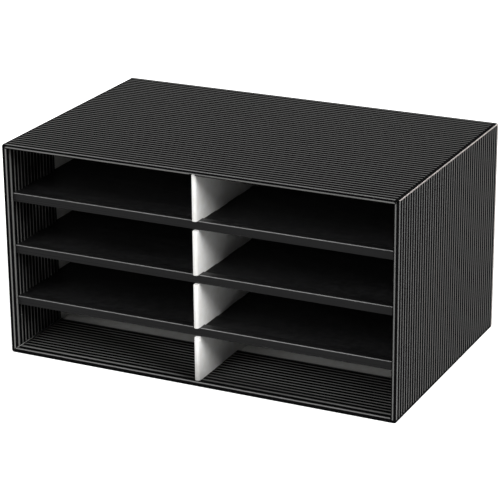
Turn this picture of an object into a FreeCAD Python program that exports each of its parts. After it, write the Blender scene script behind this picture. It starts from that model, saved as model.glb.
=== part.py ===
import FreeCAD, Part
import os

# Literature organizer: a pinstriped board case with eight letter-size compartments.
# Millimetres. Origin at the centre of the resting face, +X right, +Y to the back, +Z up.

# Outside size of the case
WIDTH = 495.3
DEPTH = 314.3
HEIGHT = 260.4

# Board thicknesses, the outside radii of their folds, and the gaps at the rear flaps
BOARD = 3.2
LINER = 1.4
FOLD_RADIUS = 3.0
RIM_FOLD_RADIUS = 2.4
CORNER_CLEARANCE = 1.0
SEAM_GAP = 0.8

# Front flaps turned back into the case, and the rim widths that their plies make
FLAP_DEPTH = 104.0
SIDE_RIM = 2 * BOARD + LINER
LEVEL_RIM = 2 * BOARD

# Shelves: number of rows between them, clearances, and the end tabs with their middles
ROWS = 4
SHELF_SIDE_GAP = 0.4
TAB_GAP = 0.3
TAB_LENGTH = 40.0
TAB_CORNER = 2.0
FRONT_TAB_Y = -105.0
REAR_TAB_Y = 55.0

# Edge mouldings: face, legs that grip the shelf, and the foot that turns in under them
MOULDING_HEIGHT = 10.5
MOULDING_SETBACK = 7.3
MOULDING_FACE = 1.6
MOULDING_LEG = 1.5
MOULDING_GRIP = 10.0
MOULDING_RETURN = 4.0
MOULDING_END_GAP = 1.2
MOULDING_EDGE_RADIUS = 0.5

# Centre dividers, each a white board folded double at its front edge.
# Lower tabs plug into the shelf below and upper tabs into the shelf above.
DIVIDER = 6.4
DIVIDER_SETBACK = 2.5
DIVIDER_TOP_GAP = 1.0
LEG_CLEARANCE = 0.5
DIVIDER_TAB_LENGTH = 30.0
LOWER_TAB_Y = (-90.0, 60.0)
UPPER_TAB_Y = (-30.0, 120.0)
FLAP_SLOT_LENGTH = 58.0

# Worked-out places: PLY_X and PLY_TOP are the inner faces of the outer panels,
# LINER_X and FLAP_X those of the liners and the turned-in flaps
HALF_WIDTH = WIDTH / 2
FRONT = -DEPTH / 2
BACK = DEPTH / 2
INNER_BACK = BACK - BOARD
MINOR_BACK = INNER_BACK - BOARD
RIM_BACK = FRONT + BOARD
FLAP_END = FRONT + FLAP_DEPTH
PLY_X = HALF_WIDTH - BOARD
LINER_X = PLY_X - LINER
FLAP_X = HALF_WIDTH - SIDE_RIM
PLY_TOP = HEIGHT - BOARD
CLEAR_TOP = HEIGHT - LEVEL_RIM
CLEAR_BOTTOM = LEVEL_RIM
MOULDING_FRONT = FRONT + MOULDING_SETBACK
SHELF_FRONT = MOULDING_FRONT + MOULDING_FACE
LEG_END = SHELF_FRONT + MOULDING_GRIP
DIVIDER_FRONT = FRONT + DIVIDER_SETBACK
OPENING_HEIGHT = (CLEAR_TOP - CLEAR_BOTTOM - (ROWS - 1) * MOULDING_HEIGHT) / ROWS

# How near an edge must lie to a plane to count as on it
NEAR = 0.01


def block(x0, x1, y0, y1, z0, z1):
    """Rectangular solid between two opposite corners."""
    return Part.makeBox(x1 - x0, y1 - y0, z1 - z0, FreeCAD.Vector(x0, y0, z0))


def slab(outline, z0, z1):
    """Flat solid with a plan outline given as x, y points."""
    points = [FreeCAD.Vector(x, y, z0) for x, y in outline]
    face = Part.Face(Part.makePolygon(points + points[:1]))
    return face.extrude(FreeCAD.Vector(0, 0, z1 - z0))


def mirror_x(shape):
    """The same piece on the other side of the centre plane."""
    return shape.mirror(FreeCAD.Vector(0, 0, 0), FreeCAD.Vector(1, 0, 0))


def mirror_z(shape):
    """The same piece turned top to bottom about mid height."""
    return shape.mirror(FreeCAD.Vector(0, 0, HEIGHT / 2), FreeCAD.Vector(0, 0, 1))


def round_edges(shape, radius, wanted):
    """Round every edge that satisfies the test on its middle point and itself."""
    edges = [edge for edge in shape.Edges if wanted(edge.CenterOfMass, edge)]
    return shape.makeFillet(radius, edges)


def moulding_top(shelf):
    """Height of the top of a shelf's moulding, shelves counted from the bottom as 1, 2, 3."""
    return CLEAR_BOTTOM + shelf * (OPENING_HEIGHT + MOULDING_HEIGHT)


def shelf_top(shelf):
    """Height of a shelf's upper face, under the upper leg of its moulding."""
    return moulding_top(shelf) - MOULDING_LEG


def shelf_bottom(shelf):
    """Height of a shelf's lower face."""
    return shelf_top(shelf) - BOARD


# Case

def case_block():
    """Outer form of the case: long edges and front edges rounded by the board's folds."""
    shape = block(-HALF_WIDTH, HALF_WIDTH, FRONT, BACK, 0, HEIGHT)

    def long_edge(middle, edge):
        return abs(abs(middle.x) - HALF_WIDTH) < NEAR and abs(middle.y) < NEAR

    def front_edge(middle, edge):
        return abs(edge.BoundBox.YMax - FRONT) < NEAR

    shape = round_edges(shape, FOLD_RADIUS, long_edge)
    return round_edges(shape, RIM_FOLD_RADIUS, front_edge)


def case_sleeve():
    """The four outer panels with the rim that turns in around the front opening."""
    hollow = block(-PLY_X, PLY_X, RIM_BACK, BACK + BOARD, BOARD, PLY_TOP)
    mouth = block(-FLAP_X, FLAP_X, FRONT - BOARD, RIM_BACK + BOARD, CLEAR_BOTTOM, CLEAR_TOP)
    return case_block().cut(hollow).cut(mouth)


def mitre_wedge(outline, back):
    """Region of one panel, from an outline in x, z that follows the case's mitre planes."""
    points = [FreeCAD.Vector(x, FRONT, z) for x, z in outline]
    face = Part.Face(Part.makePolygon(points + points[:1]))
    return face.extrude(FreeCAD.Vector(0, back - FRONT, 0))


def mitre_inner_x():
    """Where the mitre planes of a top and a bottom corner meet at mid height."""
    return HALF_WIDTH - HEIGHT / 2 * SIDE_RIM / LEVEL_RIM


def divider_notch(z0, z1):
    """Slot in the rim and the turned-in flap that the divider's front tab slides into."""
    half = DIVIDER / 2 + TAB_GAP
    return block(-half, half, FRONT - BOARD, RIM_BACK + FLAP_SLOT_LENGTH, z0, z1)


def top_panel():
    """Top of the case with its front rim, notched for the top divider."""
    inner_x = mitre_inner_x()
    middle = HEIGHT / 2
    wedge = mitre_wedge(
        [(-HALF_WIDTH, HEIGHT), (HALF_WIDTH, HEIGHT), (inner_x, middle), (-inner_x, middle)],
        INNER_BACK)
    panel = case_sleeve().common(wedge)
    return panel.cut(divider_notch(CLEAR_TOP - BOARD, PLY_TOP))


def right_panel():
    """Right side of the case with its front rim."""
    wedge = mitre_wedge(
        [(HALF_WIDTH, HEIGHT), (HALF_WIDTH, 0), (mitre_inner_x(), HEIGHT / 2)],
        MINOR_BACK)
    return case_sleeve().common(wedge)


def top_inner_flap():
    """Striped flap turned back from the top rim, flat under the top panel."""
    flap = block(-FLAP_X, FLAP_X, RIM_BACK, FLAP_END, CLEAR_TOP, PLY_TOP)
    return flap.cut(divider_notch(CLEAR_TOP - BOARD, HEIGHT))


def shelf_slots(x0, x1, tab_places):
    """Slots through a side wall's plies for the end tabs of all the shelves."""
    slots = []
    for shelf in range(1, ROWS):
        for place in tab_places:
            half = TAB_LENGTH / 2 + TAB_GAP
            low = shelf_bottom(shelf) - TAB_GAP
            high = shelf_top(shelf) + TAB_GAP
            slots.append(block(x0, x1, place - half, place + half, low, high))
    return slots


def right_inner_flap():
    """Striped flap turned back from the right rim, slotted for the shelves."""
    flap = block(FLAP_X, LINER_X, RIM_BACK, FLAP_END, BOARD, PLY_TOP)
    return flap.cut(shelf_slots(FLAP_X - BOARD, LINER_X + BOARD, [FRONT_TAB_Y]))


def right_liner():
    """White liner board behind the turned-in flap, seen as the deep part of the side wall."""
    liner = block(LINER_X, PLY_X, RIM_BACK, MINOR_BACK, BOARD, PLY_TOP)
    return liner.cut(shelf_slots(LINER_X - BOARD, PLY_X + BOARD, [FRONT_TAB_Y, REAR_TAB_Y]))


def right_rear_flap():
    """Short closing flap folded in from the side panel, under the two long flaps."""
    flap = block(HALF_WIDTH - HEIGHT / 2, HALF_WIDTH, MINOR_BACK, INNER_BACK, BOARD, PLY_TOP)

    def corner_edge(middle, edge):
        return abs(middle.x - HALF_WIDTH) < NEAR and abs(middle.y - INNER_BACK) < NEAR

    return round_edges(flap, FOLD_RADIUS, corner_edge)


def top_rear_flap():
    """Long closing flap folded down from the top panel to the seam at mid height."""
    half = HALF_WIDTH - CORNER_CLEARANCE
    flap = block(-half, half, INNER_BACK, BACK, HEIGHT / 2 + SEAM_GAP / 2, HEIGHT)

    def top_edge(middle, edge):
        return abs(middle.y - BACK) < NEAR and abs(middle.z - HEIGHT) < NEAR

    return round_edges(flap, FOLD_RADIUS, top_edge)


# Shelves

def shelf_outline():
    """Plan of a shelf: narrow between the inner flaps, wider behind them, with end tabs."""
    narrow = FLAP_X - SHELF_SIDE_GAP
    wide = LINER_X - SHELF_SIDE_GAP
    tab_end = PLY_X - SHELF_SIDE_GAP
    shoulder = FLAP_END + SHELF_SIDE_GAP
    right = [(narrow, SHELF_FRONT)]
    right += tab_points(narrow, tab_end, FRONT_TAB_Y)
    right += [(narrow, shoulder), (wide, shoulder)]
    right += tab_points(wide, tab_end, REAR_TAB_Y)
    right += [(wide, MINOR_BACK)]
    left = [(-x, y) for x, y in reversed(right)]
    return right + left


def tab_points(edge_x, tip_x, middle_y):
    """One tab on a shelf's end, with its corners cut off so that it enters its slot."""
    half = TAB_LENGTH / 2
    corner = min(TAB_CORNER, (tip_x - edge_x) / 2)
    return [
        (edge_x, middle_y - half),
        (tip_x - corner, middle_y - half),
        (tip_x, middle_y - half + corner),
        (tip_x, middle_y + half - corner),
        (tip_x - corner, middle_y + half),
        (edge_x, middle_y + half),
    ]


def shelf_board(shelf):
    """One shelf with the slots that the dividers above and below it plug into."""
    board = slab(shelf_outline(), shelf_bottom(shelf), shelf_top(shelf))
    half = DIVIDER / 2 + TAB_GAP
    reach = DIVIDER_TAB_LENGTH / 2 + TAB_GAP
    slots = []
    for place in LOWER_TAB_Y + UPPER_TAB_Y:
        slot = block(-half, half, place - reach, place + reach, shelf_bottom(shelf), shelf_top(shelf))
        slots.append(slot)
    return board.cut(slots)


def shelf_moulding(shelf):
    """Plastic edge channel: a tall face, two legs that grip the shelf, and a turned-in foot."""
    half = FLAP_X - MOULDING_END_GAP
    top = moulding_top(shelf)
    foot = top - MOULDING_HEIGHT
    lower_leg = shelf_bottom(shelf) - MOULDING_LEG
    profile = [
        (MOULDING_FRONT, foot),
        (MOULDING_FRONT + MOULDING_RETURN, foot),
        (MOULDING_FRONT + MOULDING_RETURN, foot + MOULDING_LEG),
        (SHELF_FRONT, foot + MOULDING_LEG),
        (SHELF_FRONT, lower_leg),
        (LEG_END, lower_leg),
        (LEG_END, shelf_bottom(shelf)),
        (SHELF_FRONT, shelf_bottom(shelf)),
        (SHELF_FRONT, shelf_top(shelf)),
        (LEG_END, shelf_top(shelf)),
        (LEG_END, top),
        (MOULDING_FRONT, top),
    ]
    points = [FreeCAD.Vector(-half, y, z) for y, z in profile]
    face = Part.Face(Part.makePolygon(points + points[:1]))
    channel = face.extrude(FreeCAD.Vector(2 * half, 0, 0))

    def front_corner(middle, edge):
        on_face = abs(middle.y - MOULDING_FRONT) < NEAR
        return on_face and edge.Length > WIDTH / 2

    return round_edges(channel, MOULDING_EDGE_RADIUS, front_corner)


# Dividers

def divider_column(z0, z1):
    """A doubled board on edge, its front fold a full half round."""
    half = DIVIDER / 2
    start = DIVIDER_FRONT + half
    left = Part.LineSegment(FreeCAD.Vector(-half, INNER_BACK, z0), FreeCAD.Vector(-half, start, z0))
    nose = Part.Arc(FreeCAD.Vector(-half, start, z0),
                    FreeCAD.Vector(0, DIVIDER_FRONT, z0),
                    FreeCAD.Vector(half, start, z0))
    right = Part.LineSegment(FreeCAD.Vector(half, start, z0), FreeCAD.Vector(half, INNER_BACK, z0))
    rear = Part.LineSegment(FreeCAD.Vector(half, INNER_BACK, z0), FreeCAD.Vector(-half, INNER_BACK, z0))
    outline = Part.Wire([curve.toShape() for curve in (left, nose, right, rear)])
    return Part.Face(outline).extrude(FreeCAD.Vector(0, 0, z1 - z0))


def divider_segment(row):
    """The divider of one row, counted from the bottom as 0 to 3."""
    half = DIVIDER / 2
    lowest = row == 0
    highest = row == ROWS - 1
    floor = BOARD if lowest else shelf_top(row)
    ceiling = PLY_TOP if highest else shelf_bottom(row + 1)
    body = divider_column(floor, ceiling)
    past_legs = LEG_END + LEG_CLEARANCE
    cuts = []
    if lowest:
        cuts.append(flap_seat(floor, CLEAR_BOTTOM))
    else:
        cuts.append(block(-half, half, FRONT, past_legs, floor, moulding_top(row)))
    if highest:
        cuts.append(flap_seat(CLEAR_TOP, ceiling))
    else:
        underside = moulding_top(row + 1) - MOULDING_HEIGHT - DIVIDER_TOP_GAP
        cuts.append(block(-half, half, FRONT, past_legs, underside, ceiling))
    body = body.cut(cuts)
    tabs = []
    if not lowest:
        tabs += [divider_tab(place, floor - BOARD, floor) for place in LOWER_TAB_Y]
    if not highest:
        tabs += [divider_tab(place, ceiling, ceiling + BOARD) for place in UPPER_TAB_Y]
    return body.fuse(tabs).removeSplitter() if tabs else body


def flap_seat(z0, z1):
    """Clearance for the turned-in flap behind the divider's own front tab."""
    half = DIVIDER / 2
    start = RIM_BACK + FLAP_SLOT_LENGTH - TAB_GAP
    return block(-half, half, start, FLAP_END + TAB_GAP, z0, z1)


def divider_tab(middle_y, z0, z1):
    """A divider's tab that fills a slot in the shelf."""
    half = DIVIDER / 2
    reach = DIVIDER_TAB_LENGTH / 2
    return block(-half, half, middle_y - reach, middle_y + reach, z0, z1)


def all_pieces():
    """Every piece of the organizer by its node name."""
    pieces = {}
    pieces["shell_top"] = top_panel()
    pieces["shell_bottom"] = mirror_z(top_panel())
    pieces["shell_right"] = right_panel()
    pieces["shell_left"] = mirror_x(right_panel())
    pieces["top_inner_flap"] = top_inner_flap()
    pieces["bottom_inner_flap"] = mirror_z(top_inner_flap())
    pieces["right_inner_flap"] = right_inner_flap()
    pieces["left_inner_flap"] = mirror_x(right_inner_flap())
    pieces["right_liner"] = right_liner()
    pieces["left_liner"] = mirror_x(right_liner())
    pieces["right_rear_flap"] = right_rear_flap()
    pieces["left_rear_flap"] = mirror_x(right_rear_flap())
    pieces["top_rear_flap"] = top_rear_flap()
    pieces["bottom_rear_flap"] = mirror_z(top_rear_flap())
    for shelf in range(1, ROWS):
        pieces["shelf_%d" % shelf] = shelf_board(shelf)
        pieces["shelf_moulding_%d" % shelf] = shelf_moulding(shelf)
    for row in range(ROWS):
        pieces["divider_%d" % (row + 1)] = divider_segment(row)
    return pieces


os.makedirs("parts", exist_ok=True)
for name, shape in all_pieces().items():
    shape.exportStep("parts/%s.step" % name)
    box = shape.BoundBox
    print("%-20s solids %d valid %s volume %9.0f  x %.1f %.1f  y %.1f %.1f  z %.1f %.1f" % (
        name, len(shape.Solids), shape.isValid(), shape.Volume,
        box.XMin, box.XMax, box.YMin, box.YMax, box.ZMin, box.ZMax))
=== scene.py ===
"""Looks of a pinstriped literature organizer, laid out as a Blender add-on.

Each operator builds one piece, or a group of like pieces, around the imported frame.
Lengths are metres: MM turns the maker's millimetres into metres.
"""

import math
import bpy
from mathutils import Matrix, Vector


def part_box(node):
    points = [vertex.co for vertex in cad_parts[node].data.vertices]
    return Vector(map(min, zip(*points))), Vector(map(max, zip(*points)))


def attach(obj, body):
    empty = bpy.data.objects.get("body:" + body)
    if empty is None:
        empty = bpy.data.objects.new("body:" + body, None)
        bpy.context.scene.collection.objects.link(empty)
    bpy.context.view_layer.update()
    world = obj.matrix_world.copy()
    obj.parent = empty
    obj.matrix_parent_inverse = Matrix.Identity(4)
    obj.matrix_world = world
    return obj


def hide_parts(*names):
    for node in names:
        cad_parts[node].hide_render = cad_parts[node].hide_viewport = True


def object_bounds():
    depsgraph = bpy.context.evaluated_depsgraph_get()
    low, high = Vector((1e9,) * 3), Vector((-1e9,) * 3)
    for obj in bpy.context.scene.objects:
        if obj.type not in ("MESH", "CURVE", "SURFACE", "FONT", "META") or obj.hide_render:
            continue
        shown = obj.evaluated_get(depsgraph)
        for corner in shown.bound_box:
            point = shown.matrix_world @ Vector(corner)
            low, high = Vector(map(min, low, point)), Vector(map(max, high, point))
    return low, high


bl_info = {
    "name": "Literature Organizer",
    "version": (1, 0, 0),
    "blender": (4, 5, 0),
    "location": "View3D > Sidebar > Organizer",
    "description": "Builds a folded board case with shelves, edge mouldings and centre dividers",
    "category": "Add Mesh",
}

from collections import namedtuple
from itertools import product

import bmesh
import bpy
from bpy.props import FloatProperty, FloatVectorProperty, PointerProperty
from mathutils import Matrix, Vector

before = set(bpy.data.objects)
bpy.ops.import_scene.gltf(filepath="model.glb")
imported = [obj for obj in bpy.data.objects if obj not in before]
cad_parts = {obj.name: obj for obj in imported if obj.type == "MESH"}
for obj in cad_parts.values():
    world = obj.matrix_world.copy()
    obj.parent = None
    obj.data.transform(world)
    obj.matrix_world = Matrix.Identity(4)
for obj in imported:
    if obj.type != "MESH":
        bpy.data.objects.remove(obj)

MM = 0.001
BODY = "root"

# Outside of the case, taken from the frame
CASE_LOW, CASE_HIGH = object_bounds()
HALF_WIDTH = CASE_HIGH.x
FRONT = CASE_LOW.y
BACK = CASE_HIGH.y
HEIGHT = CASE_HIGH.z

# Faces and thicknesses that the turned-in flaps, the rear flaps and the side liners give
FLAP_LOW, FLAP_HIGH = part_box("top_inner_flap")
REAR_LOW, REAR_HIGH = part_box("top_rear_flap")
SIDE_REAR_LOW, SIDE_REAR_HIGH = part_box("right_rear_flap")
LINER_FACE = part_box("right_liner")[0].x
RIM_BACK = FLAP_LOW.y
FLAP_END = FLAP_HIGH.y
BOARD = HEIGHT - FLAP_HIGH.z
LEVEL_RIM = HEIGHT - FLAP_LOW.z
SIDE_RIM = HALF_WIDTH - FLAP_HIGH.x
INNER_BACK = REAR_LOW.y
SIDE_BACK = SIDE_REAR_LOW.y

# Gap round a part in its slot, and how far a cut reaches past what it cuts
SLOT_GAP = 0.3 * MM
OVERCUT = 1 * MM

# The divider's slot in the top and bottom rims, and the whole part of the bottom one before it
DIVIDER_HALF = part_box("divider_1")[1].x
RIM_SLOT_END = RIM_BACK + 58 * MM
FOOT_DEPTH = 8 * MM

# Slots of the shelves' front tabs: middle, half length, and reach into the liner's place
TAB_MIDDLE = FRONT + 52.15 * MM
TAB_HALF = 20 * MM
TAB_REACH = 0.7 * MM

# How far the hidden faces of the case's layers stand back, so that no two of them touch
SLIT = 0.05 * MM

# The wavy middle sheet at a cut edge: thickness, depth of its slot, how far it stands back, and
# its points to a wave
WAVE_SHEET = 0.3 * MM
FLUTE_DEPTH = 3.0 * MM
FLUTE_RECESS = 0.15 * MM
WAVE_POINTS = 12

# Places nearer than the first count as one, and points nearer than the second are joined
CLOSE = 0.01 * MM
WELD = 0.002 * MM

SHELVES = (1, 2, 3)
DIVIDERS = (1, 2, 3, 4)
LEVEL_SIDES = ("top", "bottom")
WALLS = ("left", "right")
SIDES = LEVEL_SIDES + WALLS

# Numbers of a board piece's finishes, in the order of its material slots
PRINTED = 0
INSIDE = 1
CUT_EDGE = 2

# Studio lights: name, angle round from the front to the right, and angle up, in degrees. Then how
# far off they stand, and how far the floor reaches
LIGHTS = (("key_light", 80.5, 28.0), ("fill_light", -15.0, 35.0), ("rear_light", 165.0, 15.0))
LIGHT_DISTANCE = 3.0
FLOOR_REACH = 12.0

# The camera: place, then yaw, pitch and roll in degrees, and its lens in mm
CAMERA_PLACE = (1.05194, -2.17755, 1.00325)
CAMERA_TURN = (25.9, 20.17, -0.53)
CAMERA_LENS = 155.5

# A point of a side's section. finish is that of the face after it, part is ply, rim or flap
SectionPoint = namedtuple("SectionPoint", "y inset print_place finish part")

# What settings for lengths have in common
LENGTH = {"unit": "LENGTH", "precision": 5}


def length(name, description, value, least=0.0):
    """Setting for a length, with its value and its least value in millimetres."""
    return FloatProperty(
        name=name, description=description, default=value * MM, min=least * MM, **LENGTH)


def tint(name, description, value):
    """Setting for a colour."""
    return FloatVectorProperty(
        name=name, description=description, default=value, size=3, min=0.0, max=1.0, subtype="COLOR")


class OrganizerSizes(bpy.types.PropertyGroup):
    """Board details that the frame leaves open."""

    fold_radius: length("Long fold radius", "Outside radius of the folds along the long edges", 3.0)
    rim_fold_radius: length("Rim fold radius", "Outside radius of the fold at the front edge", 2.4, 0.1)
    inner_fold_depth: length("Inner fold depth", "How far back the rim takes to turn into the flap", 6.0)
    inner_fold_share: FloatProperty(
        name="Inner fold share", description="Share of the rim's width that the inner fold rounds",
        default=0.42, min=0.0, max=0.6, subtype="FACTOR")
    mitre_gap: length("Mitre gap", "Gap that each side leaves at a corner of the rim", 0.8)
    seam_width: length("Seam width", "How much of the glued side panel's cut edge shows", 0.65)
    seam_drop: length("Seam drop", "How far the glued side panel ends below the top", 1.2)
    back_seam: length("Back seam", "Gap between the two long rear flaps at mid height", 0.3)
    flute_pitch: length("Flute pitch", "Distance between the waves in the corrugated board", 6.5, 1.0)
    facing: length("Facing sheet", "Thickness of the board's flat facing sheets", 0.45, 0.1)
    moulding_edge: length("Moulding edge", "Radius of the moulding's front edges", 0.8, 0.1)


class OrganizerPrint(bpy.types.PropertyGroup):
    """Pinstripes printed on the case board; a value for each side goes top, bottom, left, right."""

    pitch: length("Stripe pitch", "Distance between the pinstripes", 7.1, 1.0)
    width: length("Stripe width", "Width of one pinstripe", 1.6, 0.1)
    first_line: length("First stripe", "Distance of the first outer stripe from the front", 2.4)
    first_stretch: FloatProperty(
        name="First stretch", description="How much wider the first outer stripe is than the others",
        default=1.5, min=1.0, max=3.0)
    margin: length("Print margin", "Black margin between the stripes' ends and the long folds", 1.0)
    rim_lines: FloatVectorProperty(
        name="Rim stripes", description="Distance of each rim's stripe from the outer edge",
        default=(3.2 * MM, 5.4 * MM, 5.4 * MM, 4.1 * MM), size=4, min=0.0, **LENGTH)
    fold_lines: FloatVectorProperty(
        name="Fold stripes", description="Distance of the stripe behind each rim from the front",
        default=(7.5 * MM, 9.3 * MM, 6.0 * MM, 7.5 * MM), size=4, min=0.0, **LENGTH)
    fold_stretch: FloatProperty(
        name="Fold stretch", description="How much wider the stripe behind the rim is than the others",
        default=2.1, min=1.0, max=3.0)
    flap_gap: length("Flap gap", "From the stripe behind the rim to the next one on the flap", 8.5)


class OrganizerFinish(bpy.types.PropertyGroup):
    """Colours of the boards and the plastic."""

    ink: tint("Black ink", "Ground colour of the printed board", (0.0022, 0.0022, 0.0023))
    stripe: tint("Stripe grey", "Colour of the pinstripes", (0.165, 0.165, 0.162))
    cut_edge: tint("Cut board edge", "Colour of the raw pulp at a cut edge", (0.58, 0.53, 0.51))
    white_board: tint("White board", "Colour of the dividers", (0.88, 0.88, 0.875))
    white_liner: tint(
        "White liner", "Colour of the side liners and the board's inner face", (0.78, 0.78, 0.77))
    shelf_black: tint("Shelf black", "Colour of the dyed shelf board", (0.006, 0.006, 0.0062))
    plastic_black: tint("Moulding black", "Colour of the edge mouldings", (0.0065, 0.0065, 0.0067))
    # Painted highlight: light grey painted along the moulding's top front edge, where a shine falls
    painted_edge_highlight: tint("Painted edge highlight", "Colour of the moulding's rubbed top edge", (0.2, 0.2, 0.2))


class OrganizerStage(bpy.types.PropertyGroup):
    """Floor and light of the studio."""

    floor_tone: FloatProperty(
        name="Floor tone", description="Brightness of the pale floor",
        default=0.9, min=0.0, max=1.0, subtype="FACTOR")
    floor_bounce: FloatProperty(
        name="Floor bounce", description="Brightness of the floor as the pieces see it",
        default=0.5, min=0.0, max=1.0, subtype="FACTOR")
    floor_glow: FloatProperty(
        name="Floor glow", description="How much the floor's own glow lifts the shadows on it",
        default=0.6, min=0.0, max=1.0, subtype="FACTOR")
    surround: FloatProperty(
        name="Surround", description="Strength of the even light from all round",
        default=0.16, min=0.0)
    light_strengths: FloatVectorProperty(
        name="Light strengths", description="Key from the right, fill from the front, low rear light",
        default=(3.1, 2.4, 1.5), size=3, min=0.0)
    light_spreads: FloatVectorProperty(
        name="Light spreads", description="Apparent sizes of the key, the fill and the rear light",
        default=[math.radians(angle) for angle in (32, 50, 50)], size=3, min=0.0, unit="ROTATION")


class BuildStep:
    """What the operators share: each builds its pieces in the scene that it is run in."""

    def execute(self, context):
        self.build(context.scene)
        return {"FINISHED"}


# Meshes

class Shape:
    """Points, faces, print places and finishes gathered for one piece."""

    def __init__(self):
        self.points = []
        self.bare_and_highlight = []
        self.faces = []
        self.prints = []
        self.finishes = []

    def add_point(self, place, bare_and_highlight=0.0):
        self.points.append(tuple(place))
        self.bare_and_highlight.append(bare_and_highlight)
        return len(self.points) - 1

    def add_face(self, numbers, finish=PRINTED, prints=None):
        self.faces.append(list(numbers))
        self.finishes.append(finish)
        self.prints.extend(prints or [(0.0, 0.0)] * len(numbers))


def link_new(name, data):
    """New object in the scene for a mesh, a light or a camera."""
    thing = bpy.data.objects.new(name, data)
    bpy.context.scene.collection.objects.link(thing)
    return thing


def mesh_object(name, mesh, smooth_angle):
    """Object for a mesh, with its curves shaded smooth and its edges kept sharp."""
    mesh.shade_smooth()
    mesh.set_sharp_from_angle(angle=math.radians(smooth_angle))
    return link_new(name, mesh)


def weld(mesh):
    """Join points that coincide and face everything outward."""
    work = bmesh.new()
    work.from_mesh(mesh)
    bmesh.ops.remove_doubles(work, verts=work.verts, dist=WELD)
    bmesh.ops.dissolve_degenerate(work, edges=work.edges, dist=WELD)
    bmesh.ops.recalc_face_normals(work, faces=work.faces)
    work.to_mesh(mesh)
    work.free()


def make_piece(name, shape, materials, smooth_angle=32):
    """Mesh object from a shape, with the print places as a UV map and the bare share as an attribute."""
    mesh = bpy.data.meshes.new(name)
    mesh.from_pydata(shape.points, [], shape.faces)
    layer = mesh.uv_layers.new(name="print")
    for loop, place in zip(layer.data, shape.prints):
        loop.uv = place
    bare_and_highlight = mesh.attributes.new("bare_and_highlight", "FLOAT", "POINT")
    bare_and_highlight.data.foreach_set("value", shape.bare_and_highlight)
    for material in materials:
        mesh.materials.append(material)
    mesh.polygons.foreach_set("material_index", shape.finishes)
    weld(mesh)
    return mesh_object(name, mesh, smooth_angle)


def settle(piece, slot, *nodes):
    """Tie a finished piece to the frame and hide the frame nodes that it stands for."""
    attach(piece, BODY)
    if nodes:
        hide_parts(*nodes)


def box_shape(boxes, finish):
    """Plain boxes between opposite corners, used as cutters."""
    shape = Shape()
    for box in boxes:
        corner = {}
        for ends in product((0, 1), repeat=3):
            corner[ends] = shape.add_point([box[end][axis] for axis, end in enumerate(ends)])
        for axis, end in product(range(3), (0, 1)):
            ring = []
            for pair in ((0, 0), (1, 0), (1, 1), (0, 1)):
                ends = list(pair)
                ends.insert(axis, end)
                ring.append(corner[tuple(ends)])
            shape.add_face(ring, finish)
    return shape


def cut_away(piece, boxes, finish=CUT_EDGE):
    """Take boxes out of a piece; the new faces get one of the piece's finishes."""
    cutter = make_piece("cutter", box_shape(boxes, finish), piece.data.materials[:])
    modifier = piece.modifiers.new("cut", "BOOLEAN")
    modifier.operation = "DIFFERENCE"
    modifier.solver = "EXACT"
    modifier.object = cutter
    bpy.context.view_layer.update()
    depsgraph = bpy.context.evaluated_depsgraph_get()
    mesh = bpy.data.meshes.new_from_object(piece.evaluated_get(depsgraph))
    piece.modifiers.remove(modifier)
    piece.data = mesh
    mesh.name = piece.name
    bpy.data.objects.remove(cutter)


def node_piece(name, node, slot, material, softness, smooth_angle=32):
    """A settled piece with the shape of a frame node, welded and with its edges softened."""
    mesh = bpy.data.meshes.new(name)
    work = bmesh.new()
    work.from_mesh(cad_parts[node].data)
    bmesh.ops.remove_doubles(work, verts=work.verts, dist=CLOSE)
    bmesh.ops.dissolve_limit(work, angle_limit=math.radians(1), verts=work.verts, edges=work.edges)
    bmesh.ops.recalc_face_normals(work, faces=work.faces)
    sharp = [edge for edge in work.edges if edge.calc_face_angle(0.0) > math.radians(50)]
    bmesh.ops.bevel(
        work, geom=sharp, offset=softness, offset_type="OFFSET", segments=2, profile=0.5,
        affect="EDGES", clamp_overlap=True)
    work.to_mesh(mesh)
    work.free()
    for layer in list(mesh.uv_layers):
        mesh.uv_layers.remove(layer)
    mesh.materials.clear()
    mesh.materials.append(material)
    piece = mesh_object(name, mesh, smooth_angle)
    settle(piece, slot, node)
    return piece


def carried_shape(outline, stations, place, finishes, end_finish, prints=None, bare_and_highlight=None):
    """Closed outline carried through stations into a solid with closed ends.

    place(station, point) gives a point's place. finishes, prints and bare go round the outline."""
    shape = Shape()
    count = len(outline)
    rings = []
    for station in stations:
        rings.append([
            shape.add_point(place(station, outline[i]), bare_and_highlight[i] if bare_and_highlight else 0.0) for i in range(count)])
    for number, (here, after) in enumerate(zip(rings, rings[1:])):
        start, end = stations[number], stations[number + 1]
        for i in range(count):
            k = (i + 1) % count
            places = None
            if prints:
                places = [(start, prints[i]), (end, prints[i]), (end, prints[k]), (start, prints[k])]
            shape.add_face([here[i], after[i], after[k], here[k]], finishes[i], places)
    for ring in (rings[0], rings[-1]):
        shape.add_face(ring, end_finish)
    return shape


# Case sides

def arc(steps, turn=90.0):
    """Angles of an arc's points after its start, in radians."""
    return [math.radians(turn) * (i + 1) / steps for i in range(steps)]


def fold_points(edge, bend, way):
    """Points (y, inset) round a fold at an edge that faces back (way 1) or front (way -1)."""
    return [
        (edge - way * bend * (1 - math.sin(angle)), bend * (1 - math.cos(angle)))
        for angle in [0.0] + arc(8)]


def outer_place(stripes, y):
    """Print place on an outer panel at a distance from the front."""
    return stripes.pitch / 2 - stripes.first_line + y - FRONT


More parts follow.
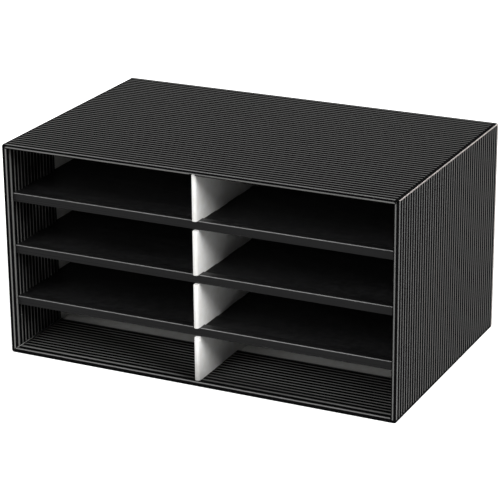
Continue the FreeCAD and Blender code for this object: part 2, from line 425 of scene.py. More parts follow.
def printed_line(sizes, rim):
    """Points (y, inset) of the printed face from the panel over both front folds to the flap's end."""
    depth = sizes.inner_fold_depth
    height = sizes.inner_fold_share * rim
    line = [(RIM_BACK, 0.0)] + fold_points(FRONT, sizes.rim_fold_radius, -1) + [(FRONT, rim - height)]
    # The inner fold gets a point just where it passes the back of the rim
    passing = math.degrees(math.acos(1 - (RIM_BACK - FRONT) / depth))
    angles = arc(5, passing)
    angles += [angles[-1] + angle for angle in arc(5, 90.0 - passing)]
    for angle in angles:
        line.append((FRONT + depth * (1 - math.cos(angle)), rim - height * (1 - math.sin(angle))))
    line.append((FLAP_END, rim))
    return line


def travels(line):
    """Distance along a line to each of its points."""
    far = [0.0]
    for here, after in zip(line, line[1:]):
        far.append(far[-1] + math.dist(here, after))
    return far


def travel_to(line, axis, value):
    """Distance along a line to where its y (axis 0) or its inset (axis 1) last passes a value."""
    far = travels(line)
    found = 0.0
    for i in range(len(line) - 1):
        a, b = line[i][axis], line[i + 1][axis]
        if a != b and min(a, b) <= value <= max(a, b):
            found = far[i] + (far[i + 1] - far[i]) * (value - a) / (b - a)
    return found


def with_point(line, travel):
    """The line with one more point at a distance along it."""
    far = travels(line)
    for i in range(len(line) - 1):
        if far[i] + CLOSE < travel < far[i + 1] - CLOSE:
            share = (travel - far[i]) / (far[i + 1] - far[i])
            new = tuple(a + (b - a) * share for a, b in zip(line[i], line[i + 1]))
            return line[:i + 1] + [new] + line[i + 1:]
    return line


def rim_section(side, sizes, stripes, rim, rear):
    """Section through one side: outer panel, rim and turned-in flap, as one closed line.

    Stripes sit at odd halves of the pitch. The print place runs on over each of them, and from one
    to the next it skips black ground only."""
    half = stripes.pitch / 2
    near = stripes.width / 2 + 0.2 * MM
    line = printed_line(sizes, rim)
    number = SIDES.index(side)
    fold_line = FRONT + stripes.fold_lines[number]
    # Each stripe's middle along the line, its print place, and how much wider it is drawn
    stops = [
        (RIM_BACK - FRONT - stripes.first_line, half, stripes.first_stretch),
        (travel_to(line, 1, stripes.rim_lines[number]), -half, 1.0),
        (travel_to(line, 0, fold_line), -3 * half, stripes.fold_stretch),
        (travel_to(line, 0, fold_line + stripes.flap_gap), -5 * half, 1.0),
    ]
    for middle, place, stretch in stops:
        line = with_point(line, middle - near * stretch)
        line = with_point(line, middle + near * stretch)

    def print_place(travel):
        begun = [stop for stop in stops if travel > stop[0] - near * stop[2] - CLOSE]
        middle, place, stretch = begun[-1] if begun else stops[0]
        if travel > middle + near * stretch + CLOSE and len(begun) < len(stops):
            return place - half
        return place - (travel - middle) / stretch

    points = [SectionPoint(rear, 0.0, outer_place(stripes, rear), PRINTED, "ply")]
    for (y, inset), travel in zip(line, travels(line)):
        part = "flap" if inset > rim / 2 and y > RIM_BACK - CLOSE else "rim"
        points.append(SectionPoint(y, inset, print_place(travel), PRINTED, part))
    points[1] = points[1]._replace(part="ply")
    points[-1] = points[-1]._replace(finish=CUT_EDGE)
    hidden = rim - BOARD + SLIT
    points.append(SectionPoint(FLAP_END, hidden, 0.0, INSIDE, "flap"))
    points.append(SectionPoint(RIM_BACK, hidden, 0.0, INSIDE, "flap"))
    points.append(SectionPoint(RIM_BACK, BOARD - SLIT, 0.0, INSIDE, "ply"))
    points.append(SectionPoint(rear, BOARD - SLIT, 0.0, CUT_EDGE, "ply"))
    return points


def row_end(side, point, sizes, high_end):
    """How long one line of a side is from its middle, and its corner radius there."""
    level = side in LEVEL_SIDES
    rim = LEVEL_RIM if level else SIDE_RIM
    other_rim = SIDE_RIM if level else LEVEL_RIM
    half = HALF_WIDTH if level else HEIGHT / 2
    turned = min(point.inset / sizes.rim_fold_radius, 1.0)
    reach = half - other_rim * point.inset / rim - sizes.mitre_gap * turned
    radius = 0.0
    if turned < 1.0 and point.finish == PRINTED:
        radius = max(sizes.fold_radius - point.inset, 0.0)
    # The glued seam, where the top panel's end lies on the right panel's edge
    if high_end and side in ("top", "right") and point.part != "flap":
        straight = 1.0 if point.part == "ply" else 1.0 - turned
        drop = sizes.seam_width if side == "top" else sizes.seam_drop
        reach = half - drop if point.part == "ply" else reach - drop * straight
        if side == "right":
            radius *= 1.0 - straight
    return reach, radius


def end_stations(reach, radius, margin):
    """Points of a line's end from its middle outward: (distance along, drop, bare share)."""
    fade = 1.2 * MM
    start = reach - radius - margin
    stations = [(start - fade, 0.0, 0.0), (start, 0.0, 1.0), (reach - radius, 0.0, 1.0)]
    for angle in arc(5, 45.0):
        along = reach - radius + radius * math.sin(angle)
        stations.append((along, radius * (1 - math.cos(angle)), 1.0))
    return stations


def side_place(side, along, y, inset):
    """Place of a point given by its distance along a side and its inset from the outside."""
    if side == "top":
        return (along, y, HEIGHT - inset)
    if side == "bottom":
        return (along, y, inset)
    if side == "right":
        return (HALF_WIDTH - inset, y, HEIGHT / 2 + along)
    return (-HALF_WIDTH + inset, y, HEIGHT / 2 + along)


def side_shape(side, sizes, stripes):
    """One side of the case: its outer panel, its rim and its turned-in flap."""
    level = side in LEVEL_SIDES
    rear = INNER_BACK if level else SIDE_BACK
    section = rim_section(side, sizes, stripes, LEVEL_RIM if level else SIDE_RIM, rear)
    least_bare_radius = 0.5 * MM
    shape = Shape()
    rows = []
    for point in section:
        row = []
        for sign in (-1, 1):
            reach, radius = row_end(side, point, sizes, sign > 0)
            stations = end_stations(reach, radius, stripes.margin)
            for along, drop, bare_and_highlight in stations[::sign]:
                place = side_place(side, sign * along, point.y, point.inset + drop)
                number = shape.add_point(place, bare_and_highlight if radius > least_bare_radius else 0.0)
                row.append((number, sign * along))
        rows.append(row)
    count = len(section)
    for i in range(count):
        k = (i + 1) % count
        v0, v1 = section[i].print_place, section[k].print_place
        for j in range(len(rows[i]) - 1):
            (a, ua), (b, ub) = rows[i][j:j + 2]
            (d, ud), (c, uc) = rows[k][j:j + 2]
            shape.add_face([a, b, c, d], section[i].finish, [(ua, v0), (ub, v0), (uc, v1), (ud, v1)])
    add_end_caps(shape, section, rows)
    return shape


def add_end_caps(shape, section, rows):
    """Close both ends of a side with the cut faces of its panel, rim and flap."""
    count = len(section)
    outer, visible, hidden, inner = [i for i in range(count) if abs(section[i].y - RIM_BACK) < CLOSE]
    panel = [0, outer, inner, count - 1]
    rim = list(range(outer, visible + 1)) + [hidden, inner]
    flap = list(range(visible, hidden + 1))
    for end in (0, -1):
        for outline, finish in ((panel, CUT_EDGE), (rim, PRINTED), (flap, PRINTED)):
            shape.add_face([rows[i][end][0] for i in outline], finish)


def rim_slot(side):
    """Box of the divider's slot: a notch in the top rim and its flap, or a slot behind the bottom rim."""
    half = DIVIDER_HALF + SLOT_GAP
    if side == "top":
        return (-half, FRONT - OVERCUT, HEIGHT - LEVEL_RIM - OVERCUT), (half, RIM_SLOT_END, HEIGHT - BOARD)
    return (-half, FRONT + FOOT_DEPTH - SLOT_GAP, BOARD), (half, RIM_SLOT_END, LEVEL_RIM + OVERCUT)


def tab_slots(side):
    """Boxes of the slots through a side's turned-in flap for the front tabs of the shelves."""
    slots = []
    sign = 1 if side == "right" else -1
    inner, outer = sorted((sign * (HALF_WIDTH - SIDE_RIM - OVERCUT), sign * (LINER_FACE + TAB_REACH)))
    half = TAB_HALF + SLOT_GAP
    for shelf in SHELVES:
        low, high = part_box("shelf_%d" % shelf)
        slots.append((
            (inner, TAB_MIDDLE - half, low.z - SLOT_GAP),
            (outer, TAB_MIDDLE + half, high.z + SLOT_GAP)))
    return slots


def seam_rebate(sizes):
    """Box that rebates the right panel's cut top edge, so that the top panel's end lies on it."""
    play = 0.03 * MM
    behind_rim_fold = FRONT + 1.2 * BOARD
    return (
        (HALF_WIDTH - BOARD - OVERCUT, behind_rim_fold, HEIGHT - BOARD - SLIT),
        (HALF_WIDTH - sizes.seam_width + play, SIDE_BACK + OVERCUT, HEIGHT + OVERCUT))


class ORGANIZER_OT_case(BuildStep, bpy.types.Operator):
    """Build the four sides of the case with their rims and turned-in flaps"""

    bl_idname = "organizer.case"
    bl_label = "Case Sides"

    def build(self, scene):
        sizes = scene.organizer_sizes
        finishes = board_finishes(scene)
        for side in SIDES:
            piece = make_piece("case_" + side, side_shape(side, sizes, scene.organizer_print), finishes)
            if side in LEVEL_SIDES:
                cut_away(piece, [rim_slot(side)], PRINTED)
            else:
                cut_away(piece, tab_slots(side))
            if side == "right":
                cut_away(piece, [seam_rebate(sizes)])
            settle(piece, "striped_board", "shell_" + side, side + "_inner_flap")


# Back

def rear_flap_shape(side, sizes, stripes):
    """Rear flap folded in from one side: long from the top and the bottom, short from the walls."""
    if side in LEVEL_SIDES:
        near, far, end = INNER_BACK, BACK, (HEIGHT - sizes.back_seam) / 2
        stations = (REAR_LOW.x, REAR_HIGH.x)
    else:
        near, far, end = SIDE_BACK, INNER_BACK, HALF_WIDTH - SIDE_REAR_LOW.x
        stations = (SIDE_REAR_LOW.z - HEIGHT / 2, SIDE_REAR_HIGH.z - HEIGHT / 2)
    section = [(near, 0.0)] + fold_points(far, sizes.fold_radius, 1) + [(far, end)]
    start = outer_place(stripes, near)
    prints = [start + travel for travel in travels(section)] + [0.0]
    finishes = [PRINTED] * (len(section) - 1) + [CUT_EDGE, INSIDE]
    section.append((near, end))

    def place(along, point):
        return side_place(side, along, *point)

    return carried_shape(section, stations, place, finishes, CUT_EDGE, prints)


def show_flutes(piece, side, wall, sizes):
    """Open a long rear flap's cut end at a wall and put the board's wavy middle sheet in it."""
    low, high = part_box(side + "_rear_flap")
    end = 1 if wall == "right" else -1
    fold = sizes.fold_radius + MM
    foot = low.z + (fold if side == "bottom" else sizes.facing)
    head = high.z - (fold if side == "top" else sizes.facing)
    front, back = low.y + sizes.facing, high.y - sizes.facing
    face = high.x if end > 0 else low.x
    left, right = sorted((face + end * OVERCUT, face - end * FLUTE_DEPTH))
    cut_away(piece, [((left, front, foot), (right, back, head))])

    thick = WAVE_SHEET / 2
    shown, deep = face - end * FLUTE_RECESS, face - end * FLUTE_DEPTH
    outline = ((thick, shown), (-thick, shown), (-thick, deep), (thick, deep))
    swing = (back - front - WAVE_SHEET) / 2
    turn = 2 * math.pi / sizes.flute_pitch
    steps = int((head - foot) / sizes.flute_pitch * WAVE_POINTS)
    stations = [(head - foot) * i / steps for i in range(steps + 1)]

    def place(travel, point):
        offset, x = point
        normal = Vector((1.0, -swing * turn * math.cos(turn * travel))).normalized() * offset
        y = (front + back) / 2 + swing * math.sin(turn * travel)
        return (x, y + normal.x, foot + travel + normal.y)

    shape = carried_shape(outline, stations, place, [CUT_EDGE] * 4, CUT_EDGE)
    name = "back_flutes_%s_%s" % (side, wall)
    settle(make_piece(name, shape, piece.data.materials[:], smooth_angle=60), "striped_board")


class ORGANIZER_OT_back(BuildStep, bpy.types.Operator):
    """Build the four flaps that close the back of the case"""

    bl_idname = "organizer.back"
    bl_label = "Rear Flaps"

    def build(self, scene):
        sizes = scene.organizer_sizes
        finishes = board_finishes(scene)
        for side in SIDES:
            shape = rear_flap_shape(side, sizes, scene.organizer_print)
            piece = make_piece("back_flap_" + side, shape, finishes)
            settle(piece, "striped_board", side + "_rear_flap")
            if side in LEVEL_SIDES:
                for wall in WALLS:
                    show_flutes(piece, side, wall, sizes)


class ORGANIZER_OT_liners(BuildStep, bpy.types.Operator):
    """Build the white liner boards inside the side walls"""

    bl_idname = "organizer.liners"
    bl_label = "Side Liners"

    def build(self, scene):
        white = shared_material(
            "white_liner_board", white_board_material, scene, scene.organizer_finish.white_liner)
        for side in WALLS:
            node_piece("side_liner_" + side, side + "_liner", "white_liner", white, 0.15 * MM)


# Shelves

class ORGANIZER_OT_shelves(BuildStep, bpy.types.Operator):
    """Build the three shelf boards with their end tabs"""

    bl_idname = "organizer.shelves"
    bl_label = "Shelf Boards"

    def build(self, scene):
        black = shared_material("black_shelf_board", shelf_material, scene)
        for shelf in SHELVES:
            node_piece("shelf_board_%d" % shelf, "shelf_%d" % shelf, "shelf_board", black, 0.2 * MM)


def rounded_outline(corners):
    """Closed outline from (y, z, radius) corners, each rounded with a short arc."""
    points = []
    count = len(corners)
    for i, (y, z, radius) in enumerate(corners):
        here = Vector((y, z))
        if radius <= 0:
            points.append(here)
            continue
        before = (Vector(corners[i - 1][:2]) - here).normalized()
        after = (Vector(corners[(i + 1) % count][:2]) - here).normalized()
        centre = here + (before + after) * radius
        for angle in [0.0] + arc(6):
            points.append(centre - (after * math.cos(angle) + before * math.sin(angle)) * radius)
    return points


def moulding_shape(shelf, sizes):
    """Edge channel: a tall face with rounded edges, legs that grip the shelf and a turned-in foot."""
    low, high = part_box("shelf_moulding_%d" % shelf)
    board_low, board_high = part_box("shelf_%d" % shelf)
    leg = high.z - board_high.z
    wall_back = board_low.y
    foot_back = low.y + 4.0 * MM
    edge = sizes.moulding_edge
    tip = 0.45 * MM
    inner_corner = 0.3 * MM
    chamfer = 0.25 * MM
    outline = rounded_outline([
        (low.y, low.z, edge),
        (foot_back, low.z, tip),
        (foot_back, low.z + leg, tip),
        (wall_back, low.z + leg, inner_corner),
        (wall_back, board_low.z - leg, inner_corner),
        (high.y, board_low.z - leg, tip),
        (high.y, board_low.z, tip),
        (wall_back, board_low.z, 0.0),
        (wall_back, board_high.z, 0.0),
        (high.y, board_high.z, tip),
        (high.y, high.z, tip),
        (low.y, high.z, edge),
    ])
    middle = Vector(((low.y + wall_back) / 2, (low.z + high.z) / 2))

    def place(x, point):
        if x in (low.x, high.x):
            point = point + (middle - point).normalized() * chamfer / 2
        return (x, point.x, point.y)

    # The top front edge's points are marked for a painted highlight
    bare_and_highlight = []
    for point in outline:
        at_edge = point.x < low.y + edge - CLOSE and point.y > high.z - edge + CLOSE
        bare_and_highlight.append(1.0 if at_edge else 0.0)
    stations = (low.x, low.x + chamfer, high.x - chamfer, high.x)
    return carried_shape(outline, stations, place, [PRINTED] * len(outline), PRINTED, bare_and_highlight=bare_and_highlight)


class ORGANIZER_OT_mouldings(BuildStep, bpy.types.Operator):
    """Build the plastic mouldings on the front edges of the shelves"""

    bl_idname = "organizer.mouldings"
    bl_label = "Edge Mouldings"

    def build(self, scene):
        plastic = shared_material("black_edge_plastic", moulding_material, scene)
        for shelf in SHELVES:
            shape = moulding_shape(shelf, scene.organizer_sizes)
            piece = make_piece("edge_moulding_%d" % shelf, shape, [plastic], smooth_angle=40)
            settle(piece, "moulding_plastic", "shelf_moulding_%d" % shelf)


# Dividers

def foot_cut():
    """Box of the lowest divider's front foot, whose place the whole part of the bottom rim takes."""
    half = DIVIDER_HALF + OVERCUT
    return (-half, FRONT - OVERCUT, 0.0), (half, FRONT + FOOT_DEPTH, LEVEL_RIM + SLOT_GAP)


class ORGANIZER_OT_dividers(BuildStep, bpy.types.Operator):
    """Build the white centre dividers, one for each row"""

    bl_idname = "organizer.dividers"
    bl_label = "Centre Dividers"

    def build(self, scene):
        white = shared_material(
            "white_divider_board", white_board_material, scene, scene.organizer_finish.white_board)
        for row in DIVIDERS:
            name = "centre_divider_%d" % row
            piece = node_piece(name, "divider_%d" % row, "white_board", white, 0.5 * MM, smooth_angle=40)
            if row == 1:
                cut_away(piece, [foot_cut()], 0)


# Materials

class Nodes:
    """Short ways to place and link the nodes of one tree."""

    def __init__(self, tree):
        self.tree = tree
        self.count = 0

    def add(self, kind, values=None, **settings):
        node = self.tree.nodes.new(kind)
        node.location = (220 * (self.count % 8), -260 * (self.count // 8))
        self.count += 1
        for key, value in settings.items():
            setattr(node, key, value)
        for key, value in (values or {}).items():
            self.feed(node.inputs[key], value)
        return node

    def feed(self, socket, value):
        if isinstance(value, bpy.types.NodeSocket):
            self.tree.links.new(value, socket)
        else:
            socket.default_value = value

    def math(self, operation, *values, clamp=False):
        values = dict(enumerate(values))
        return self.add("ShaderNodeMath", values, operation=operation, use_clamp=clamp).outputs[0]

    def noise(self, place, scale, detail, **more):
        values = {"Vector": place, "Scale": scale, "Detail": detail, **more}
        return self.add("ShaderNodeTexNoise", values).outputs[0]

    def blend(self, share, first, second):
        # A Mix node's colours are its sockets 6 and 7, and their mix is its output 2
        return self.add("ShaderNodeMix", {0: share, 6: first, 7: second}, data_type="RGBA").outputs[2]

    def spread(self, value, low, high, to_low=0.0, to_high=1.0):
        values = dict(enumerate((value, low, high, to_low, to_high)))
        return self.add("ShaderNodeMapRange", values, clamp=True).outputs[0]


def shader_group(name, inputs, outputs):
    """New node group with named sockets: its tree, its nodes, what it is given and what it gives.

    An input with no default is a vector. All others, and the outputs, are plain values."""
    tree = bpy.data.node_groups.new(name, "ShaderNodeTree")
    for label, value in inputs.items():
        kind = "NodeSocketVector" if value is None else "NodeSocketFloat"
        socket = tree.interface.new_socket(label, in_out="INPUT", socket_type=kind)
        if value is not None:
            socket.default_value = value
    for label in outputs:
        tree.interface.new_socket(label, in_out="OUTPUT", socket_type="NodeSocketFloat")
    nodes = Nodes(tree)
    return tree, nodes, nodes.add("NodeGroupInput").outputs, nodes.add("NodeGroupOutput").inputs


def paper_fibre_group(name):
    """Fine fibres, soft mottle and broad waviness of a paper facing."""
    tree, nodes, given, result = shader_group(
        name,
        {"Place": None, "Fibre Size": 0.6 * MM, "Fibre Depth": 0.03 * MM, "Wave Depth": 0.3 * MM},
        ["Height", "Mottle", "Cloud"])
    scale = nodes.math("DIVIDE", 1.0, given["Fibre Size"])
    fibre = nodes.noise(given["Place"], scale, 3.0, Roughness=0.6, Distortion=0.6)
    mottle = nodes.noise(given["Place"], 140.0, 4.0, Roughness=0.55)
    cloud = nodes.noise(given["Place"], 9.0, 2.0, Roughness=0.5)
    fine = nodes.math("MULTIPLY", fibre, given["Fibre Depth"])
    broad = nodes.math("MULTIPLY", cloud, given["Wave Depth"])
    nodes.feed(result["Height"], nodes.math("ADD", fine, broad))
    nodes.feed(result["Mottle"], mottle)
    nodes.feed(result["Cloud"], cloud)
    return tree


def flute_relief_group(name):
    """Faint washboard of the waves showing through a facing sheet."""
    tree, nodes, given, result = shader_group(
        name, {"Across": 0.0, "Pitch": 6.5 * MM, "Depth": 0.02 * MM}, ["Height"])
    turns = nodes.math("DIVIDE", given["Across"], given["Pitch"])
    wave = nodes.math("SINE", nodes.math("MULTIPLY", turns, 2 * math.pi))
    nodes.feed(result["Height"], nodes.math("MULTIPLY", wave, given["Depth"]))
    return tree


def rubbed_group(name):
    """Light rubbing and handling marks: a mask of sparse small patches."""
    tree, nodes, given, result = shader_group(
        name, {"Place": None, "Amount": 0.3, "Patch Size": 8.0 * MM}, ["Mask"])
    scale = nodes.math("DIVIDE", 1.0, given["Patch Size"])
    patches = nodes.noise(given["Place"], scale, 6.0, Roughness=0.7)
    start = nodes.math("SUBTRACT", 0.72, nodes.math("MULTIPLY", given["Amount"], 0.2))
    raised = nodes.math("SUBTRACT", patches, start)
    nodes.feed(result["Mask"], nodes.math("MULTIPLY", raised, 6.0, clamp=True))
    return tree


GROUPS = {
    "paper fibre": paper_fibre_group,
    "flute relief": flute_relief_group,
    "rubbed patches": rubbed_group,
}


def place_group(nodes, name, values):
    """Outputs of a node group in a material; the group is built when the first material wants it."""
    tree = bpy.data.node_groups.get(name) or GROUPS[name](name)
    return nodes.add("ShaderNodeGroup", values, node_tree=tree).outputs


def paper_fibres(nodes, place, size, depth, wave):
    """Outputs of the paper fibre group, with its sizes in millimetres."""
    return place_group(nodes, "paper fibre", {
        "Place": place, "Fibre Size": size * MM, "Fibre Depth": depth * MM, "Wave Depth": wave * MM})


def shared_material(name, build, *given):
    """Material that pieces share, built when the first of them wants it."""
    return bpy.data.materials.get(name) or build(name, *given)


def new_material(name):
    """New material, its nodes, its Principled shader and the object's own coordinates."""
    material = bpy.data.materials.new(name)
    material.use_nodes = True
    nodes = Nodes(material.node_tree)
    shader = next(node for node in nodes.tree.nodes if node.type == "BSDF_PRINCIPLED")
    return material, nodes, shader, nodes.add("ShaderNodeTexCoord").outputs["Object"]


def finish_surface(nodes, shader, tone, rough, height, relief, gloss):
    """Give a shader its colour, roughness and bump, and the strength of its gloss."""
    bump = nodes.add("ShaderNodeBump", {"Height": height, "Strength": relief, "Distance": 1.0})
    nodes.feed(shader.inputs["Base Color"], tone)
    nodes.feed(shader.inputs["Roughness"], rough)
    nodes.feed(shader.inputs["Normal"], bump.outputs[0])
    shader.inputs["Specular IOR Level"].default_value = gloss


def colour(value, share=1.0, lift=0.0):
    """Colour with its alpha, made darker or lighter by a share and a lift."""
    return tuple(c * share + lift for c in value) + (1.0,)


def pinstripe_material(name, scene):
    """Black printed facing with grey pinstripes at the print places of the UV map."""
    finish = scene.organizer_finish
    stripes = scene.organizer_print
    material, nodes, shader, place = new_material(name)
    print_map = nodes.add("ShaderNodeUVMap", uv_map="print").outputs[0]
    across = nodes.add("ShaderNodeSeparateXYZ", {0: print_map}).outputs[1]
    paper = paper_fibres(nodes, place, 0.5, 0.012, 0.35)
    waves = place_group(nodes, "flute relief", {
        "Across": across, "Pitch": scene.organizer_sizes.flute_pitch, "Depth": 0.012 * MM})
    wear_and_highlight = place_group(nodes, "rubbed patches", {"Place": place, "Amount": 0.25})

    # Distance from the nearest stripe's middle, with an uneven ink edge. Whole pitches are added so
    # that no place is below zero
    shifted = nodes.math("ADD", across, 1000 * stripes.pitch)
    turn = nodes.math("FRACT", nodes.math("DIVIDE", shifted, stripes.pitch))
    away = nodes.math("MULTIPLY", nodes.math("ABSOLUTE", nodes.math("SUBTRACT", turn, 0.5)), stripes.pitch)
    ragged = nodes.math("MULTIPLY", nodes.math("SUBTRACT", paper["Mottle"], 0.5), 0.25 * MM)
    edge = nodes.math("ADD", away, ragged)
    soft = 0.12 * MM
    stripe = nodes.spread(edge, stripes.width / 2 - soft, stripes.width / 2 + soft, 1.0, 0.0)
    bare_and_highlight = nodes.add("ShaderNodeAttribute", attribute_name="bare_and_highlight").outputs["Fac"]
    stripe = nodes.math("MULTIPLY", stripe, nodes.spread(bare_and_highlight, 0.3, 0.8, 1.0, 0.0))

    ground = nodes.blend(
        nodes.spread(paper["Mottle"], 0.35, 0.7), colour(finish.ink), colour(finish.ink, 1.9))
    line = nodes.blend(
        nodes.spread(paper["Mottle"], 0.3, 0.7), colour(finish.stripe, 0.82), colour(finish.stripe))
    printed = nodes.blend(stripe, ground, line)
    wear = nodes.math("MULTIPLY", wear_and_highlight["Mask"], 0.35)
    tone = nodes.blend(wear, printed, colour(finish.ink, lift=0.03))
    rough = nodes.math(
        "ADD", nodes.spread(paper["Cloud"], 0.3, 0.7, 0.5, 0.64), nodes.math("MULTIPLY", wear, 0.2))
    height = nodes.math("ADD", paper["Height"], waves["Height"])
    finish_surface(nodes, shader, tone, rough, height, relief=0.6, gloss=0.004)
    return material


def cut_edge_material(name, scene):
    """Raw pulp of a cut board edge, its tone mottled darker in patches."""
    pulp = scene.organizer_finish.cut_edge
    material, nodes, shader, place = new_material(name)
    paper = paper_fibres(nodes, place, 0.25, 0.08, 0.0)
    tone = nodes.blend(nodes.spread(paper["Mottle"], 0.3, 0.7), colour(pulp, 0.62), colour(pulp))
    rough = nodes.spread(paper["Mottle"], 0.2, 0.8, 0.85, 0.95)
    finish_surface(nodes, shader, tone, rough, paper["Height"], relief=0.7, gloss=0.2)
    return material


def white_board_material(name, scene, white):
    """White paper facing with fibres, soft mottle and the faint washboard of the waves."""
    material, nodes, shader, place = new_material(name)
    paper = paper_fibres(nodes, place, 0.7, 0.02, 0.4)
    depth = nodes.add("ShaderNodeSeparateXYZ", {0: place}).outputs[1]
    waves = place_group(nodes, "flute relief", {
        "Across": depth, "Pitch": scene.organizer_sizes.flute_pitch, "Depth": 0.02 * MM})
    wear_and_highlight = place_group(nodes, "rubbed patches", {
        "Place": place, "Amount": 0.3, "Patch Size": 14 * MM})
    warm = (white[0] * 0.93, white[1] * 0.92, white[2] * 0.89, 1.0)
    soiled = (white[0] * 0.78, white[1] * 0.77, white[2] * 0.74, 1.0)
    clean = nodes.blend(nodes.spread(paper["Mottle"], 0.35, 0.7), warm, colour(white))
    tone = nodes.blend(nodes.math("MULTIPLY", wear_and_highlight["Mask"], 0.2), clean, soiled)
    rough = nodes.spread(paper["Cloud"], 0.3, 0.7, 0.68, 0.8)
    height = nodes.math("ADD", paper["Height"], waves["Height"])
    finish_surface(nodes, shader, tone, rough, height, relief=0.7, gloss=0.25)
    return material


def board_finishes(scene):
    """Printed face, white inner face and cut edge, in the order of a board piece's slots."""
    white = scene.organizer_finish.white_liner
    return [
        shared_material("pinstriped_board", pinstripe_material, scene),
        shared_material("white_inner_face", white_board_material, scene, white),
        shared_material("cut_board_edge", cut_edge_material, scene),
    ]


def shelf_material(name, scene):
    """Dyed black board: short pale fibres, cloudy sheen and faint rub marks from paper."""
    black = scene.organizer_finish.shelf_black
    material, nodes, shader, place = new_material(name)
    paper = paper_fibres(nodes, place, 0.6, 0.02, 0.3)
    stretched = nodes.add("ShaderNodeMapping", {"Vector": place, "Scale": (1.0, 6.0, 6.0)}).outputs[0]
    wear_and_highlight = place_group(nodes, "rubbed patches", {
        "Place": stretched, "Amount": 0.45, "Patch Size": 30 * MM})
    ground = nodes.blend(nodes.spread(paper["Mottle"], 0.35, 0.75), colour(black), colour(black, 2.2))
    tone = nodes.blend(nodes.math("MULTIPLY", wear_and_highlight["Mask"], 0.4), ground, colour(black, lift=0.03))
    rough = nodes.spread(paper["Cloud"], 0.3, 0.7, 0.45, 0.6)
    finish_surface(nodes, shader, tone, rough, paper["Height"], relief=0.7, gloss=0.1)
    return material


def moulding_material(name, scene):
    """Black extruded plastic: fine draw lines along its length, a soft shine and a painted highlight along
    the top front edge.
    """
    finish = scene.organizer_finish
    black = finish.plastic_black
    material, nodes, shader, place = new_material(name)
    drawn = nodes.add("ShaderNodeMapping", {"Vector": place, "Scale": (2.0, 900.0, 900.0)}).outputs[0]
    lines = nodes.noise(drawn, 1.0, 2.0)
    paper = paper_fibres(nodes, place, 0.3, 0.004, 0.15)
    plastic = nodes.blend(lines, colour(black), colour(black, 1.6))
    # Painted highlight: the marked top front edge is painted light grey, made patchy by mottle
    edge = nodes.add("ShaderNodeAttribute", attribute_name="bare_and_highlight").outputs["Fac"]
    wear_and_highlight = nodes.math("MULTIPLY", edge, nodes.spread(paper["Mottle"], 0.25, 0.6, 0.6, 1.0))
    tone = nodes.blend(wear_and_highlight, plastic, colour(finish.painted_edge_highlight))
    rough = nodes.spread(lines, 0.3, 0.7, 0.26, 0.36)
    height = nodes.math("ADD", paper["Height"], nodes.math("MULTIPLY", lines, 0.006 * MM))
    finish_surface(nodes, shader, tone, rough, height, relief=0.6, gloss=0.2)
    return material


def floor_material(stage):
    """Matt pale studio floor with a barely uneven tone."""
    material, nodes, shader, place = new_material("studio_floor")
    cloud = nodes.noise(place, 1.5, 2.0)
    pale = (stage.floor_tone,) * 3
    seen = nodes.add("ShaderNodeLightPath").outputs["Is Camera Ray"]
    even = nodes.blend(cloud, colour(pale, 0.985), colour(pale))
    bounce = colour((stage.floor_bounce,) * 3)
    nodes.feed(shader.inputs["Base Color"], nodes.blend(seen, bounce, even))
    nodes.feed(shader.inputs["Emission Color"], nodes.blend(seen, (0, 0, 0, 1), (1, 1, 1, 1)))
    shader.inputs["Emission Strength"].default_value = stage.floor_glow
    shader.inputs["Roughness"].default_value = 0.9
    shader.inputs["Specular IOR Level"].default_value = 0.1
    return material


# Stage

def add_floor(stage):
    """Wide floor under the case."""
    mesh = bpy.data.meshes.new("floor")
    ends = (-FLOOR_REACH, FLOOR_REACH)
    mesh.from_pydata([(x, y, 0) for x in ends for y in ends], [], [(0, 2, 3, 1)])
    mesh.materials.append(floor_material(stage))
    link_new("floor", mesh)


def add_surround(scene, stage):
    """World that lights the case evenly and shows as white behind it."""
    world = bpy.data.worlds.new("studio")
    world.use_nodes = True
    nodes = Nodes(world.node_tree)
    seen = nodes.add("ShaderNodeLightPath").outputs["Is Camera Ray"]
    even = colour((stage.surround,) * 3)
    background = world.node_tree.nodes["Background"]
    nodes.feed(background.inputs["Color"], nodes.blend(seen, even, (1.0, 1.0, 1.0, 1.0)))
    scene.world = world


def look(yaw, pitch, roll=0.0):
    """Turn of a camera or a light in front of the case: round by a yaw, tipped down, then rolled."""
    level = Matrix.Rotation(math.radians(yaw), 4, "Z")
    tipped = Matrix.Rotation(math.radians(90 - pitch), 4, "X")
    return level @ tipped @ Matrix.Rotation(math.radians(roll), 4, "Z")


def add_light(name, azimuth, elevation, strength, spread):
    """Broad even light from an angle round the case and an angle up."""
    light = bpy.data.lights.new(name, "SUN")
    light.energy = strength
    light.angle = spread
    lamp = link_new(name, light)
    lamp.matrix_world = look(azimuth, elevation) @ Matrix.Translation((0, 0, LIGHT_DISTANCE))


def add_camera(scene):
    """Camera at the photograph's angle."""
    data = bpy.data.cameras.new("camera")
    data.lens = CAMERA_LENS
    data.sensor_width = 36.0
    data.clip_end = 50.0
    camera = link_new("camera", data)
    camera.matrix_world = Matrix.Translation(CAMERA_PLACE) @ look(*CAMERA_TURN)
    scene.camera = camera


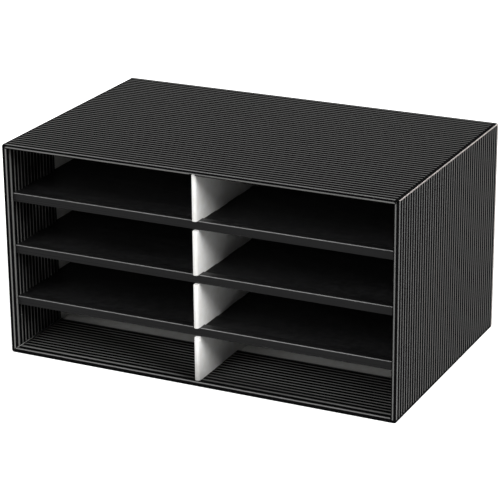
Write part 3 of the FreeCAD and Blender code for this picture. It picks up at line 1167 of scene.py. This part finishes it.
class ORGANIZER_OT_stage(BuildStep, bpy.types.Operator):
    """Set out the pale floor, the soft studio light and the camera"""

    bl_idname = "organizer.stage"
    bl_label = "Studio Stage"

    def build(self, scene):
        stage = scene.organizer_stage
        add_floor(stage)
        add_surround(scene, stage)
        for light, strength, spread in zip(LIGHTS, stage.light_strengths, stage.light_spreads):
            add_light(*light, strength, spread)
        add_camera(scene)
        scene.view_settings.view_transform = "Standard"


class ORGANIZER_PT_panel(bpy.types.Panel):
    """Buttons and settings for the organizer's pieces"""

    bl_idname = "ORGANIZER_PT_panel"
    bl_label = "Literature Organizer"
    bl_space_type = "VIEW_3D"
    bl_region_type = "UI"
    bl_category = "Organizer"

    def draw(self, context):
        for operator in OPERATORS:
            self.layout.operator(operator.bl_idname)
        for group in SETTINGS:
            settings = getattr(context.scene, group)
            box = self.layout.box()
            for name in settings.bl_rna.properties.keys():
                if name not in ("rna_type", "name"):
                    box.prop(settings, name)


SETTINGS = {
    "organizer_sizes": OrganizerSizes,
    "organizer_print": OrganizerPrint,
    "organizer_finish": OrganizerFinish,
    "organizer_stage": OrganizerStage,
}

OPERATORS = (
    ORGANIZER_OT_case,
    ORGANIZER_OT_back,
    ORGANIZER_OT_liners,
    ORGANIZER_OT_shelves,
    ORGANIZER_OT_mouldings,
    ORGANIZER_OT_dividers,
    ORGANIZER_OT_stage,
)


def register():
    for name, group in SETTINGS.items():
        bpy.utils.register_class(group)
        setattr(bpy.types.Scene, name, PointerProperty(type=group))
    for kind in OPERATORS + (ORGANIZER_PT_panel,):
        bpy.utils.register_class(kind)


def unregister():
    for kind in reversed(OPERATORS + (ORGANIZER_PT_panel,)):
        bpy.utils.unregister_class(kind)
    for name, group in reversed(list(SETTINGS.items())):
        delattr(bpy.types.Scene, name)
        bpy.utils.unregister_class(group)


def main():
    """Register the add-on and build everything in order."""
    register()
    for kind in OPERATORS:
        group, name = kind.bl_idname.split(".")
        getattr(getattr(bpy.ops, group), name)()


if __name__ == "__main__":
    main()
